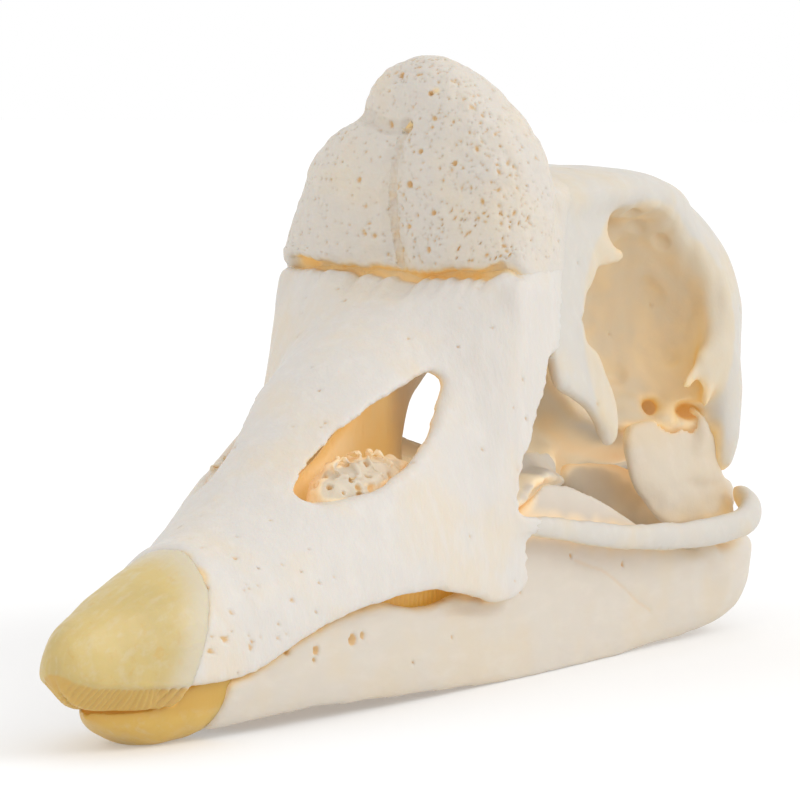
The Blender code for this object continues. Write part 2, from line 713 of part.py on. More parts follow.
def upper_nail():
    nail = loft("upper_nail", [upper_nail_ring(row) for row in catmull(UPPER_NAIL, 22)])
    boolean(nail, slanted_box("behind", *UPPER_NAIL_EDGE, UPPER_NAIL_SLANT, 1, 0), "DIFFERENCE")
    boolean(nail, core(SUTURE_GAP), "DIFFERENCE")
    lighten(nail, UPPER_NAIL_TRIANGLES)
    return nail


def lower_nail(upper):
    nail = loft("lower_nail", [spoon_ring(row) for row in catmull(LOWER_NAIL, 20)])
    give_way(nail, upper)
    boolean(nail, slanted_box("behind", *LOWER_NAIL_EDGE, LOWER_NAIL_SLANT, 1, 0), "DIFFERENCE")
    lighten(nail, LOWER_NAIL_TRIANGLES)
    stand(nail)
    return nail


def stand(bone):
    """Wears the lower edge of a bone flat where it rests on the table."""
    boolean(bone, slab("table", ((-20, 0), (140, 0), (140, -9), (-20, -9)), -30, 30), "DIFFERENCE")


def trim_tips(skull, jaw):
    """Ends the bones behind their nails and leaves the bone core that holds the upper nail."""
    boolean(skull, slanted_box("front", *UPPER_NAIL_EDGE, UPPER_NAIL_SLANT, -1, -SUTURE_GAP), "DIFFERENCE")
    boolean(skull, core(0), "UNION")
    boolean(jaw, slanted_box("front", *LOWER_NAIL_EDGE, LOWER_NAIL_SLANT, -1, -SUTURE_GAP), "DIFFERENCE")


HORN = ("upper_nail", "lower_nail")
COLOURS = {
    "cranium": ((0.78, 0.72, 0.62, 1.0), 0.62),
    "lower_jaw": ((0.76, 0.68, 0.56, 1.0), 0.6),
    "quadrate_left": ((0.77, 0.67, 0.52, 1.0), 0.6),
    "quadrate_right": ((0.77, 0.67, 0.52, 1.0), 0.6),
    "pterygoid_left": ((0.77, 0.66, 0.5, 1.0), 0.6),
    "pterygoid_right": ((0.77, 0.66, 0.5, 1.0), 0.6),
    "upper_nail": ((0.72, 0.54, 0.22, 1.0), 0.42),
    "lower_nail": ((0.66, 0.42, 0.12, 1.0), 0.4),
}


def give_material(bone):
    """Each bone gets a material of its own."""
    colour, roughness = COLOURS[bone.name]
    material = bpy.data.materials.new(bone.name)
    material.use_nodes = True
    shader = material.node_tree.nodes["Principled BSDF"]
    shader.inputs["Base Color"].default_value = colour
    shader.inputs["Roughness"].default_value = roughness
    bone.data.materials.clear()
    bone.data.materials.append(material)


def settle(bones):
    """Moves all bones so that the origin is at the bottom centre of the whole skull."""
    points = np.array([vertex.co for bone in bones for vertex in bone.data.vertices])
    low, high = points.min(axis=0), points.max(axis=0)
    shift = Matrix.Translation((-(low[0] + high[0]) / 2, -(low[1] + high[1]) / 2, -low[2]))
    for bone in bones:
        bone.data.transform(shift)
    return shift.translation


def build():
    for leftover in list(bpy.data.objects):
        bpy.data.objects.remove(leftover)
    skull = cranium()
    jaw = lower_jaw()
    give_way(jaw, skull)
    small = []
    for side, word in ((LEFT, "left"), (RIGHT, "right")):
        bone = quadrate(side)
        bone.name = f"quadrate_{word}"
        give_way(bone, skull)
        give_way(bone, jaw)
        strut = fused(f"pterygoid_{word}", [rod("strut", PTERYGOID, side)], cell=0.4, relax=2)
        give_way(strut, skull)
        give_way(strut, bone)
        lighten(bone, QUADRATE_TRIANGLES)
        lighten(strut, PTERYGOID_TRIANGLES)
        small += [bone, strut]
    lighten(skull, CRANIUM_TRIANGLES)
    lighten(jaw, JAW_TRIANGLES)
    stand(jaw)
    trim_tips(skull, jaw)
    nail = upper_nail()
    bones = [skull, jaw, nail, lower_nail(nail), *small]
    for bone in bones:
        give_material(bone)
    return settle(bones)


SHIFT = build()
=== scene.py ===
# %% [markdown]
# # The skull of a knobbed goose
# This lesson dresses the plain solids of a goose skull until they look like cleaned bone. The solids give
# the size and the place of every bone. Here each bone gets a fine skin, pores, seams and a material of its
# own.

import math
import random

import bpy
import numpy as np
from mathutils import Matrix, Vector, kdtree, noise
from mathutils.bvhtree import BVHTree


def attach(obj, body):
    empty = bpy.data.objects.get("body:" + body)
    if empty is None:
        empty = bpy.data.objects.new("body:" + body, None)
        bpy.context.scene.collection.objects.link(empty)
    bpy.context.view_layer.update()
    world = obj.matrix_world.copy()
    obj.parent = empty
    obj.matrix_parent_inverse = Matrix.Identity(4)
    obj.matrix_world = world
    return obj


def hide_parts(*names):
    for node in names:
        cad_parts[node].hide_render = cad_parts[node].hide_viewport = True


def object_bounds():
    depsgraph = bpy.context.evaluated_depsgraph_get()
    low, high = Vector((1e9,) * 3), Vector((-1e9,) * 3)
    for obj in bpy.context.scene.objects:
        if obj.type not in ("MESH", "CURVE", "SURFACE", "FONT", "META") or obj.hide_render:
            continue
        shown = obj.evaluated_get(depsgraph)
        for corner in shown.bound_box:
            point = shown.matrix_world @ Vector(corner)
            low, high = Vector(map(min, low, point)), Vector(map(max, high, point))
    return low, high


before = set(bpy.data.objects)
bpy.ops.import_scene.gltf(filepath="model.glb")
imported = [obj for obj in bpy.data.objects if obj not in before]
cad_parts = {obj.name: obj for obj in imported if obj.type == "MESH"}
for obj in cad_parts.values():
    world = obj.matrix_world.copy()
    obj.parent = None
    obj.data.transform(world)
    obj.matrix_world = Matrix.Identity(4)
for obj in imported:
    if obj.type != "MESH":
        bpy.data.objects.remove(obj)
solid_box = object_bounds()
print("plain bones:", sorted(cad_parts), solid_box)

# %% [markdown]
# ## Places on the skull
# A skull is easiest to measure from the tip of its bill. All places below are in millimetres, with y = 0
# just behind the bill tip, x = 0 in the middle plane and z = 0 on the table. The bird's left is +x. The
# solids have their origin at the bottom centre instead, so one helper turns the first kind of place into
# the second.

# %% From skull measure to the scene
MM = 0.001
TIP_TO_CENTRE = 64.12
LEFT, RIGHT = 1, -1
SIDE_WORDS = {LEFT: "left", RIGHT: "right"}


def at(x, y, z):
    """A place in skull measure, as a point of the scene in metres."""
    return Vector((x, y - TIP_TO_CENTRE, z)) * MM


def skull_measure(points):
    """Scene points in metres as an array of places in skull measure."""
    return np.asarray(points) / MM + (0.0, TIP_TO_CENTRE, 0.0)


print("bill tip at", at(0, -3, 10), "back of the head at", at(0, 131, 37))

# %% [markdown]
# ## A fine skin for each bone
# The solids are made of few large triangles. Subdivision rounds their edges, and a voxel remesh then lays
# an even net of small squares over them, which can carry pores and seams. Sculpting by hand starts the same
# way.

# %% Make a fine skin
def only(piece):
    """Selects one piece and makes it the active one."""
    bpy.ops.object.select_all(action="DESELECT")
    piece.select_set(True)
    bpy.context.view_layer.objects.active = piece


def add_modifier(piece, kind, **values):
    """Adds a modifier, sets its values and applies it at once."""
    step = piece.modifiers.new(kind.lower(), kind)
    for name, value in values.items():
        setattr(step, name, value)
    only(piece)
    bpy.ops.object.modifier_apply(modifier=step.name)


def copy_of(node, name):
    """A copy of a plain bone with its doubles merged."""
    only(bpy.data.objects[node])
    bpy.ops.object.duplicate()
    piece = bpy.context.view_layer.objects.active
    piece.name = name
    piece.data.name = name
    only(piece)
    bpy.ops.object.mode_set(mode="EDIT")
    bpy.ops.mesh.select_all(action="SELECT")
    bpy.ops.mesh.remove_doubles(threshold=0.00001)
    bpy.ops.object.mode_set(mode="OBJECT")
    piece.data.materials.clear()
    return piece


def even_net(piece, cell, relax=2):
    """Lays an even net of cells of this many millimetres over a closed piece."""
    add_modifier(piece, "REMESH", mode="VOXEL", voxel_size=cell * MM)
    add_modifier(piece, "SMOOTH", factor=0.5, iterations=relax)
    print(piece.name, len(piece.data.polygons), "faces")


def fine_skin(node, name, cell, rounding=2, relax=3):
    """A rounded copy of a plain bone on an even net."""
    piece = copy_of(node, name)
    add_modifier(piece, "SUBSURF", levels=rounding, render_levels=rounding)
    even_net(piece, cell, relax)
    return piece


# %% [markdown]
# ## Keep the skin on the solid
# Rounding makes a shape shrink: corners are cut and thin spikes get short. So the skin is pulled back
# towards its solid afterwards. The pull is averaged over the neighbourhood, which keeps the skin smooth. No
# vertex may leave the box of its solid, so that the size stays the same.

# %% Read, write and settle a skin
def read(piece):
    """The vertex places (skull measure) and normals of a piece, as arrays."""
    count = len(piece.data.vertices)
    places, normals = np.empty(count * 3), np.empty(count * 3)
    piece.data.vertices.foreach_get("co", places)
    piece.data.vertices.foreach_get("normal", normals)
    return skull_measure(places.reshape(-1, 3)), normals.reshape(-1, 3)


def write(piece, places):
    """Puts new vertex places, in skull measure, back into a piece."""
    scene_places = (np.asarray(places) - (0.0, TIP_TO_CENTRE, 0.0)) * MM
    piece.data.vertices.foreach_set("co", scene_places.ravel())
    piece.data.update()


def surface(piece):
    """The skin as a tree that rays can be shot at, in skull measure."""
    places, _ = read(piece)
    faces = [face.vertices[:] for face in piece.data.polygons]
    return BVHTree.FromPolygons([Vector(place) for place in places], faces)


def blur(piece, values, times):
    """Averages the values of neighbouring vertices."""
    edges = np.empty(len(piece.data.edges) * 2, dtype=np.int64)
    piece.data.edges.foreach_get("vertices", edges)
    first, second = edges.reshape(-1, 2).T
    count = len(values)
    neighbours = np.bincount(first, minlength=count) + np.bincount(second, minlength=count)
    for _ in range(times):
        sums = np.bincount(first, weights=values[second], minlength=count)
        sums += np.bincount(second, weights=values[first], minlength=count)
        values = 0.4 * values + 0.6 * sums / np.maximum(neighbours, 1)
    return values


def settle(piece, node, spreads=(30, 12)):
    """Pulls a skin back towards its plain solid, evenly enough to stay smooth."""
    plain = bpy.data.objects[node]
    solid = surface(plain)
    corners, _ = read(plain)
    for spread in spreads:
        places, _ = read(piece)
        pulls = np.array([solid.find_nearest(Vector(place))[0] for place in places]) - places
        pulls = np.stack([blur(piece, pull, spread) for pull in pulls.T], axis=1)
        write(piece, np.clip(places + pulls, corners.min(axis=0), corners.max(axis=0)))


COARSE = 1.0
skull = fine_skin("cranium", "skull_skin", 0.42 * COARSE)
jaw = fine_skin("lower_jaw", "jaw_bone", 0.36 * COARSE)
settle(skull, "cranium")
settle(jaw, "lower_jaw")

# %% [markdown]
# ## Three parts of the skull
# The skull is one grown bone, but its parts look different: the bill is smooth and pitted, the knob is
# porous and the back is thin and glassy. Cutting the skin gives each part a net that is as fine as its
# detail needs. One cut leans back just behind the cheek plates and the knob, the other follows the groove
# between the two. Each part reaches half a millimetre past its cuts, so that no seam opens between them.

# %% Cut the skin with planes
def part_of(piece, name, planes):
    """A copy of a piece, kept on the far side of each plane (point, direction), with the cuts closed."""
    only(piece)
    bpy.ops.object.duplicate()
    part = bpy.context.view_layer.objects.active
    part.name = name
    part.data.name = name
    bpy.ops.object.mode_set(mode="EDIT")
    for point, direction in planes:
        bpy.ops.mesh.select_all(action="SELECT")
        bpy.ops.mesh.bisect(plane_co=point, plane_no=direction, use_fill=True, clear_inner=True)
    bpy.ops.object.mode_set(mode="OBJECT")
    return part


HINGE_LEVEL = 43.9
GROOVE_END = 65.5
REAR_CUT, REAR_LEAN = 73.6, 0.356
rear_point = at(0, REAR_CUT, 40.0)
rearward = Vector((0, 1, -REAR_LEAN)).normalized()
hinge_point = at(0, 0, HINGE_LEVEL)
up = Vector((0, 0, 1))
past_rear, past_hinge = rearward * 0.6 * MM, up * 0.35 * MM
before_rear = (rear_point + past_rear, -rearward)
bill = part_of(skull, "bill_bone", [before_rear, (hinge_point + past_hinge, -up)])
knob = part_of(skull, "knob_bone", [before_rear, (hinge_point - past_hinge, up)])
back = part_of(skull, "back_bone", [(rear_point - past_rear, rearward)])
bpy.data.objects.remove(skull)
even_net(bill, 0.35 * COARSE, relax=1)
even_net(knob, 0.19 * COARSE, relax=2)
even_net(back, 0.41 * COARSE, relax=1)

# %% [markdown]
# ## Small bones and horn tips
# The quadrates, on which the jaw hinges, and the strut-like pterygoids are simple shapes. They only need
# the same fine skin. The two horn tips keep their sharp lower edges, so their net is finer.

# %% Skins for the small bones and the horn tips
small_bones = {}
for word in SIDE_WORDS.values():
    small_bones[f"quadrate_{word}"] = fine_skin(f"quadrate_{word}", f"quadrate_{word}_bone", 0.25 * COARSE)
    small_bones[f"pterygoid_{word}"] = fine_skin(f"pterygoid_{word}", f"pterygoid_{word}_bone", 0.25 * COARSE)
for name, bone in small_bones.items():
    settle(bone, name)
upper_horn = fine_skin("upper_nail", "upper_nail_horn", 0.17 * COARSE, relax=2)
lower_horn = fine_skin("lower_nail", "lower_nail_horn", 0.2 * COARSE, relax=3)
settle(upper_horn, "upper_nail")
settle(lower_horn, "lower_nail")

# %% [markdown]
# ## Lumps that no bone is without
# Bone is never as even as a machined surface. Slow noise moves the skin in and out by less than a tenth of
# a millimetre on the bill and by more on the knob. A function of the place, instead of a modifier, lets
# each region have its own strength, and it fades out at the cuts so that the parts still meet.

# %% Move a skin along its normals
def lumps(places, size, seed=0.0, stretch=(1, 1, 1)):
    """Smooth noise between about -1 and 1, with lumps of this size in millimetres."""
    points = np.asarray(places) / (np.array(stretch) * size) + (seed, seed * 1.7, -seed)
    return np.array([noise.noise(Vector(point)) for point in points])


def soft_step(values, start, end):
    """0 before start, 1 past end, and a smooth rise between them."""
    t = np.clip((np.asarray(values) - start) / (end - start), 0, 1)
    return t * t * (3 - 2 * t)


def off_the_cuts(places):
    """0 on the planes that part bill, knob and back, 1 a little away from them."""
    behind = np.abs(places[:, 1] - REAR_CUT - REAR_LEAN * (places[:, 2] - 40)) / 1.06
    level = np.abs(places[:, 2] - HINGE_LEVEL)
    level = np.where(behind_cut(places) | (places[:, 1] < GROOVE_END), 9, level)
    return soft_step(np.minimum(behind, level), 0.6, 1.8)


def behind_cut(places):
    """True where a place lies in the back part."""
    return places[:, 1] - REAR_CUT - REAR_LEAN * (places[:, 2] - 40) > 0.1


def roughen(piece, strength, size, seed=0.0, stretch=(1, 1, 1), where=None):
    """Moves a skin along its normals by noise. where gives each vertex its share."""
    places, normals = read(piece)
    amount = lumps(places, size, seed, stretch) * strength * off_the_cuts(places)
    if where is not None:
        amount *= where(places)
    write(piece, places + normals * amount[:, None])


def soften(piece, times, where):
    """Smooths away edges where a function says so."""
    places, _ = read(piece)
    smooth = np.stack([blur(piece, axis, times) for axis in places.T], axis=1)
    write(piece, places + (smooth - places) * (where(places) * off_the_cuts(places))[:, None])


def temple(places):
    """1 on the side of the head behind the eye socket."""
    return soft_step(places[:, 1], 101.0, 106.0) * soft_step(places[:, 2], 28.0, 32.0)


def knob_front(places):
    """1 on the knob itself, 0 on the piece of forehead that was cut off with it."""
    return 1 - soft_step(places[:, 1], 77.0, 79.0)


def palate(places):
    """1 on the thin curled plates between the cheek bars."""
    x, y, z = np.abs(places[:, 0]), places[:, 1], places[:, 2]
    return (1 - soft_step(x, 13.0, 15.0)) * soft_step(y, 62.0, 66.0) * (1 - soft_step(z, 26.0, 29.0))


def draw_down_pterygoid(bone):
    """Draws the lower end of a pterygoid down, to the quadrate it leans on."""
    places, _ = read(bone)
    places[:, 2] -= 0.16 * np.maximum(0, 21.0 - places[:, 2])
    write(bone, places)


def draw_out_quadrate(bone):
    """Widens the foot of a quadrate to the front and back, and draws it down to the jaw."""
    places, _ = read(bone)
    low = 1 - soft_step(places[:, 2], 19.0, 25.0)
    places[:, 1] += (1.6 + 1.4 * low) * soft_step(places[:, 1], 108.0, 113.0)
    places[:, 1] -= 3.8 * low * (1 - soft_step(places[:, 1], 104.0, 110.0))
    places[:, 2] -= 1.1 * low * soft_step(places[:, 2], 11.0, 14.0)
    write(bone, places)


# %% [markdown]
# ## Shape each region
# The temple is smoothed, the feet of the small bones are drawn out to the bones they touch, and then every
# skin gets its lumps. The knob gets two sizes of them, the curled plates of the palate get the strongest.

# %% Smooth, draw out and roughen
soften(back, 45, temple)
for word in SIDE_WORDS.values():
    draw_down_pterygoid(small_bones[f"pterygoid_{word}"])
    draw_out_quadrate(small_bones[f"quadrate_{word}"])
roughen(bill, 0.10, 3.6)
roughen(bill, 0.03, 0.9, seed=21.0, stretch=(1, 1, 4))
roughen(back, 0.16, 4.2, seed=3.0)
roughen(back, 0.45, 3.4, seed=13.0, where=palate)
roughen(jaw, 0.10, 4.0, seed=5.0)
roughen(knob, 0.24, 3.2, seed=7.0, where=knob_front)
roughen(knob, 0.13, 1.1, seed=9.0, where=knob_front)
for number, bone in enumerate(small_bones.values()):
    roughen(bone, 0.14, 2.2, seed=30.0 + number)

# %% [markdown]
# ## Pores, pits and grooves
# Blood vessels leave bone through small holes. A hole is sunk by pushing the skin inward inside its radius.
# Long holes are measured with a stretched ruler. Each push is also noted in an attribute named pit, which
# darkens the colour there, as dirt and fat do in a real skull. Along the jaw under the edge of the bill the
# same mark is painted shadow.

# %% Sink pits and grooves
def keep(piece, name, values):
    """Stores one number per vertex, for the material to read."""
    layer = piece.data.attributes.get(name) or piece.data.attributes.new(name, "FLOAT", "POINT")
    layer.data.foreach_set("value", np.asarray(values, dtype=np.float32))


def kept(piece, name):
    """Reads the numbers that keep stored, or zeros."""
    values = np.zeros(len(piece.data.vertices), dtype=np.float32)
    layer = piece.data.attributes.get(name)
    if layer:
        layer.data.foreach_get("value", values)
    return values


FULL_STAIN_AND_SHADE = 0.3


def sink(piece, spots, stain_and_shade=1.0):
    """Sinks pits. Each spot is a place, radius, depth, long axis and how many times longer than wide."""
    places, normals = read(piece)
    tree = kdtree.KDTree(len(places))
    for index, place in enumerate(places):
        tree.insert(place, index)
    tree.balance()
    depths = np.zeros(len(places))
    for place, radius, depth, axis, longer in spots:
        centre, facing = Vector(place), None
        found = sorted(tree.find_range(centre, radius * longer), key=lambda hit: hit[2])
        for point, index, _ in found:
            normal = normals[index]
            if facing is None:
                facing = normal
            if normal @ facing < 0.2:
                continue
            offset = point - centre
            offset -= axis * offset.dot(axis) * (1 - 1 / longer)
            share = offset.length / radius
            if share < 1:
                depths[index] = max(depths[index], depth * (1 - share * share) ** 1.5)
    write(piece, places - normals * depths[:, None])
    keep(piece, "pit", np.maximum(kept(piece, "pit"), depths / FULL_STAIN_AND_SHADE * stain_and_shade))


def shot(tree, start, direction, fallback):
    """The first place that a ray meets, or the place of the skin nearest to the fallback."""
    return tree.ray_cast(Vector(start), Vector(direction))[0] or tree.find_nearest(Vector(fallback))[0]


def on_side(tree, y, z, side=LEFT):
    """The outermost place of a skin at this y and z, on the bird's left or right."""
    return shot(tree, (60 * side, y, z), (-side, 0, 0), (6 * side, y, z))


def on_front(tree, x, z):
    """The foremost place of a skin at this x and z."""
    return shot(tree, (x, -60, z), (0, 1, 0), (x, 66, z))


def along(points, spacing):
    """Evenly spaced places on a line through points."""
    places = []
    for start, end in zip(points, points[1:]):
        steps = max(1, round((end - start).length / spacing))
        places += [start.lerp(end, i / steps) for i in range(steps)]
    return places + [points[-1]]


ROUND = Vector((0, 0, 1))

# %% [markdown]
# ## The knob
# The knob is a blown-up piece of spongy bone, so it is covered with pores. They lie dense on the bird's
# left lobe, are drawn out and slanting near its lower corner, and are sparse on the other lobe. A seam runs
# down the front between the lobes, and a fold marks where the upper lobe hangs over the lower one.

# %% Pores, seam and fold of the knob
chance = random.Random(11)
SEAM = ((1.6, 59.4), (0.9, 58.0), (0.2, 55.6), (-0.1, 52.6), (-0.2, 50.0), (0.1, 47.0), (0.5, 45.0))
FOLD = ((-5.6, 60.9), (-4.0, 60.7), (-2.6, 60.1), (-1.0, 59.6), (0.6, 59.5), (1.8, 59.8))
BIG_PITS = ((1.8, 59.7, 0.75, 0.9), (0.1, 65.2, 0.45, 0.5), (-1.2, 59.6, 0.4, 0.4), (2.2, 53.4, 0.5, 0.6))
BIG_PITS += ((4.4, 63.2, 0.4, 0.5), (3.6, 57.0, 0.4, 0.5), (7.6, 55.8, 0.38, 0.5), (5.2, 50.4, 0.4, 0.5))
SLANT = Vector((0.55, 0.1, 0.82)).normalized()
KNOB_PORES = 1400

knob_tree = surface(knob)
seam_line = along([on_front(knob_tree, x, z) for x, z in SEAM], 0.25)
fold_line = along([on_front(knob_tree, x, z) for x, z in FOLD], 0.3)
low_seam = [place for place in seam_line if place.z < 52.5]
sink(knob, [(place, 0.3, 0.3, ROUND, 1) for place in seam_line], stain_and_shade=0.4)
sink(knob, [(place, 0.42, 0.2, ROUND, 1) for place in low_seam], stain_and_shade=1.1)
sink(knob, [(place, 1.6, 0.4, ROUND, 1) for place in seam_line], stain_and_shade=0.1)
sink(knob, [(place, 1.0, 0.6, ROUND, 1) for place in fold_line], stain_and_shade=0.12)
sink(knob, [(on_front(knob_tree, x, z), radius, depth, ROUND, 1) for x, z, radius, depth in BIG_PITS])


def pore_spots(count):
    """Random pores on the knob, denser on the left lobe and drawn out at its lower corner."""
    places, normals = read(knob)
    spots = []
    while len(spots) < count:
        index = chance.randrange(len(places))
        x, y, z = places[index]
        share = 1.0 if x > 0.5 and normals[index][1] < -0.2 else 0.4
        if y > 75.0 or z < 45.2 or chance.random() > share:
            continue
        radius = min(0.38, 0.15 * math.exp(chance.gauss(0.1, 0.32)))
        lower_corner = x > 6 and z < 51 and normals[index][1] < -0.3 and chance.random() < 0.25
        if lower_corner:
            spots.append((places[index], radius, 0.3, SLANT, chance.uniform(2.0, 3.4)))
        else:
            way = Vector((chance.gauss(0, 1), chance.gauss(0, 1), chance.gauss(0, 1))).normalized()
            depth = chance.uniform(0.6, 1.1) * radius
            spots.append((places[index], radius, depth, way, chance.uniform(1, 2)))
    return spots


sink(knob, pore_spots(KNOB_PORES))
print(KNOB_PORES, "pores in the knob")

# %% [markdown]
# ## The groove where the bill bends
# A goose can lift its bill at a thin line of bone under the knob. The edges of this groove are lumpy. The
# lips are moved up and down by noise that only depends on the place from side to side, so they wave like
# real ones.

# %% Wavy lips of the groove
LIP_PLACES = (-16.0, -12.0, -9.0, -4.6, 0.4, 2.9, 6.6, 10.2, 15.0, 18.0)
LIP_RISES = (0.9, 0.9, 0.5, 0.1, -0.2, -0.8, 0.0, -0.2, 0.7, 1.2)


def wave_lips(piece, level, reach, height, seed):
    """Moves the skin near the groove up and down, most at its mouth."""
    places, _ = read(piece)
    sides = places * (1, 0, 0)
    wave = lumps(sides, 2.1, seed) * height + lumps(sides, 0.8, seed + 4) * height * 0.6
    wave += np.interp(places[:, 0], LIP_PLACES, LIP_RISES)
    share = 1 - soft_step(np.abs(places[:, 2] - level), 0.4, reach)
    share *= (1 - soft_step(places[:, 1], 64.9, 65.6)) * off_the_cuts(places)
    places[:, 2] += wave * share
    write(piece, places)


wave_lips(knob, 44.5, 2.6, 0.45, 2.0)
wave_lips(bill, 43.4, 2.6, 0.6, 8.0)

# %% [markdown]
# ## The bill
# The bill bone is smooth, with a sprinkling of pits behind the horn tip, where the horn was fed. Its cheek
# plates end in a thin, nibbled edge. The edge is shaped by moving the skin to and fro as a function of the
# height.

# %% Pits and nibbled edges of the bill
BILL_PITS = ((9.9, 18.6, 0.55), (13.2, 14.4, 0.35), (15.4, 10.3, 0.6), (18.4, 9.1, 0.45), (21.9, 9.7, 0.35))
BILL_PITS += ((13.4, 16.8, 0.5), (13.0, 9.3, 0.5), (21.4, 17.5, 0.4), (17.2, 12.6, 0.4), (24.6, 13.2, 0.4))
BILL_PIT_COUNT = 170
REAR_MARGIN, MARGIN_LEAN = 11.0, 0.625
LOWER_MARGIN, LOWER_LEAN = 16.4, 0.249
EDGE_HEIGHTS = (6.0, 8.0, 11.0, 14.9, 19.9, 24.0, 27.2, 32.2, 37.5, 43.0)
EDGE_SHIFTS = (-0.4, -0.2, 1.5, 0.8, -1.0, -0.4, 0.5, 0.6, 0.2, 0.0)


def nibble(piece):
    """Gives the rear edges of the cheek plates their uneven outline."""
    places, _ = read(piece)
    heights = places * (0, 0, 1) + np.sign(places[:, :1]) * (3, 0, 0)
    shift = np.interp(places[:, 2], EDGE_HEIGHTS, EDGE_SHIFTS)
    shift += 1.0 * lumps(heights, 1.5, 4.0) + 0.6 * lumps(heights, 0.7, 6.0)
    edge = 63.4 + 8.6 * soft_step(places[:, 2], 22.0, 36.0)
    share = soft_step(places[:, 1], edge - 4.0, edge - 0.4) * soft_step(np.abs(places[:, 0]), 10.5, 12.5)
    share *= 1 - soft_step(places[:, 2], 41.5, 43.2)
    places[:, 1] += shift * share
    write(piece, places)


def reach_under_horn(piece, margin, lean, level, reach, fade):
    """Draws the front edge of a bone forward, in under the leaning margin of its horn tip."""
    places, _ = read(piece)
    behind_margin = places[:, 1] - margin - lean * (places[:, 2] - level)
    places[:, 1] -= reach * (1 - soft_step(behind_margin, *fade))
    write(piece, places)


nibble(bill)
reach_under_horn(bill, REAR_MARGIN, MARGIN_LEAN, level=6.0, reach=1.7, fade=(0.4, 2.6))
reach_under_horn(jaw, LOWER_MARGIN, LOWER_LEAN, level=1.0, reach=1.5, fade=(0.3, 2.4))
bill_tree = surface(bill)
spots = []
for side in (LEFT, RIGHT):
    for y, z, radius in BILL_PITS:
        spots.append((on_side(bill_tree, y, z, side), radius, radius * 0.7, ROUND, 1))
places, normals = read(bill)
while len(spots) < BILL_PIT_COUNT:
    index = chance.randrange(len(places))
    x, y, z = places[index]
    outside = normals[index] @ (x * 0.6, 0, z - 14) > 0
    if outside and (y < 30 or chance.random() < 0.25):
        spots.append((places[index], chance.uniform(0.2, 0.38), chance.uniform(0.12, 0.28), ROUND, 1))
sink(bill, spots, stain_and_shade=1.0)
print(len(spots), "pits in the bill")

# %% [markdown]
# ## Spongy bone in the nostril
# The floor of the nose is filled with a fine net of bone that nearly reaches the nostril. A lumpy cushion
# with short rods between scattered points, melted together by a voxel remesh, makes such a net on each
# side.

# %% A cushion and a net of rods in each nostril
CUSHION, CUSHION_SIZE = Vector((6.2, 45.0, 21.9)), Vector((3.8, 9.6, 3.5))
SPONGE_POINTS, SPONGE_HOLES = 48, 60
SPONGE_RODS = 64


def rod_between(start, end, radius):
    """A thin rod between two places."""
    way = end - start
    middle = (start + end) / 2
    bpy.ops.mesh.primitive_cylinder_add(
        vertices=7, radius=radius * MM, depth=way.length * MM, location=at(*middle),
        rotation=way.to_track_quat("Z", "Y").to_euler(),
    )
    return bpy.context.view_layer.objects.active


def cushion(side):
    """The lumpy body of spongy bone under the rods."""
    middle = at(CUSHION.x * side, CUSHION.y, CUSHION.z)
    bpy.ops.mesh.primitive_uv_sphere_add(
        segments=32, ring_count=16, radius=MM, location=middle, scale=CUSHION_SIZE,
    )
    return bpy.context.view_layer.objects.active


def cushion_place(side):
    """A random place just above the cushion."""
    turn, reach = chance.uniform(0, 2 * math.pi), 0.85 * math.sqrt(chance.random())
    x, y = math.cos(turn) * reach, math.sin(turn) * reach
    z = math.sqrt(1 - reach * reach) + chance.uniform(-0.05, 0.25)
    place = CUSHION + Vector((CUSHION_SIZE.x * x, CUSHION_SIZE.y * y, CUSHION_SIZE.z * z))
    return Vector((place.x * side, place.y, place.z))


def sponge(side):
    """The cushion and the net of rods in one nostril, as one piece."""
    points = [cushion_place(side) for _ in range(SPONGE_POINTS)]
    parts = [cushion(side)]
    for number in range(SPONGE_RODS):
        start = points[number % len(points)]
        nearby = sorted(points, key=lambda other: (other - start).length)[1:4]
        parts.append(rod_between(start, chance.choice(nearby), chance.uniform(0.14, 0.3)))
    bpy.ops.object.select_all(action="DESELECT")
    for part in parts:
        part.select_set(True)
    bpy.context.view_layer.objects.active = parts[0]
    bpy.ops.object.join()
    net = bpy.context.view_layer.objects.active
    net.name = f"spongy_bone_{SIDE_WORDS[side]}"
    bpy.ops.object.transform_apply(location=True, rotation=True, scale=True)
    even_net(net, 0.17 * COARSE, relax=1)
    roughen(net, 0.5, 1.5, seed=50.0)
    places, _ = read(net)
    holes = [(chance.choice(places), chance.uniform(0.3, 0.7), 0.6, ROUND, 1) for _ in range(SPONGE_HOLES)]
    sink(net, holes, stain_and_shade=0.7)
    return net


sponges = [sponge(LEFT), sponge(RIGHT)]

# %% [markdown]
# ## The back of the skull
# The eye sockets have lobed hollows under the brow and fine wrinkles in their walls. The temple and the
# nape are nearly smooth. The same pits are sunk on both sides.

# %% Hollows in the eye sockets
SOCKET_HOLLOWS = (
    (12.6, 95.4, 49.6, 1.3, 0.7), (10.4, 100.6, 48.6, 1.2, 0.6), (11.4, 105.6, 46.8, 1.0, 0.7),
    (8.5, 108.5, 40.0, 1.7, 0.4), (5.0, 104.0, 29.6, 1.6, 0.4), (10.5, 110.6, 31.6, 1.3, 0.4),
)
ALONG_BROW = Vector((0, 0.9, -0.44))
BACK_PIT_COUNT = 90
back_tree = surface(back)
hollows = []
for side in (LEFT, RIGHT):
    for x, y, z, radius, depth in SOCKET_HOLLOWS:
        nearest = back_tree.find_nearest(Vector((x * side, y, z)))[0]
        hollows.append((nearest, radius, depth, ALONG_BROW, 2))
sink(back, hollows, stain_and_shade=0.15)


def socket(places):
    """1 inside the eye sockets."""
    centre = np.abs(places) * (1, 0, 0) + places * (0, 1, 1)
    reach = (centre - (18.5, 95.4, 36.2)) / (16.2, 17.4, 15.3)
    return 1 - soft_step(np.linalg.norm(reach, axis=1), 0.96, 1.06)


